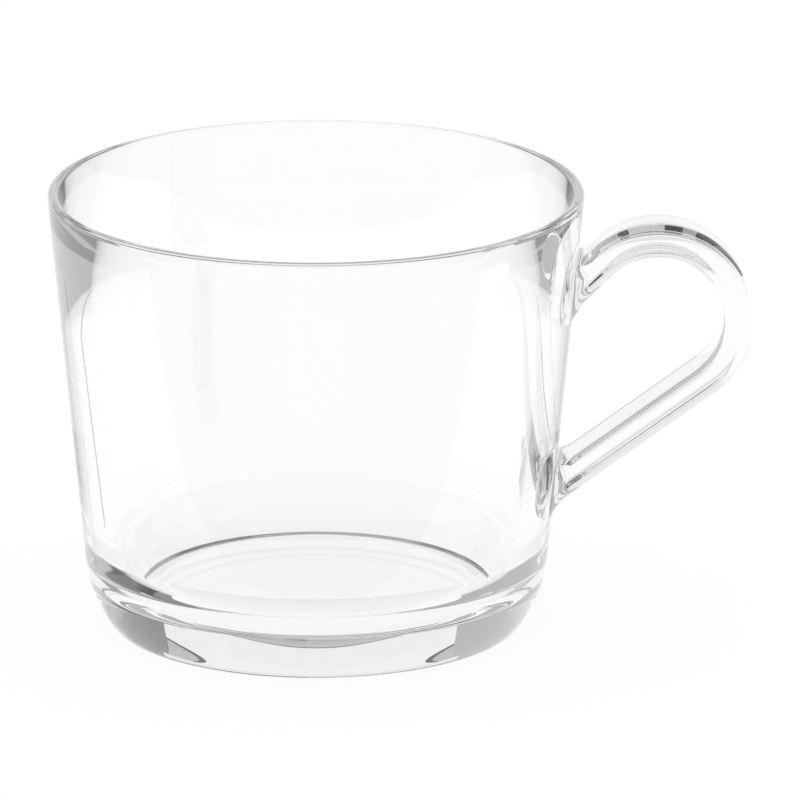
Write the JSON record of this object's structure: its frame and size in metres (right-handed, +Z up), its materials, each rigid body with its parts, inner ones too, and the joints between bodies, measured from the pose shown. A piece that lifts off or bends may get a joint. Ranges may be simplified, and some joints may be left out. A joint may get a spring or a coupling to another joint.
{
  "type": "glass mug",
  "caption": "Clear glass mug: a tapered round bowl with a rounded lip and a thick rounded base, and a bent strap handle fused to its side, for hot or cold drinks.",
  "frame": {"origin": "middle of the flat underside, on the surface that the mug stands on and on the bowl's axis", "axes": "+Z up along the bowl's axis, +X out along the handle"},
  "size_m": [0.1108, 0.084, 0.07],
  "materials": {
    "clear_glass": "fire-polished clear colourless glass, smooth all over"
  },
  "bodies": {
    "root": {"bowl": "clear_glass", "handle": "clear_glass"}
  },
  "joints": []
}
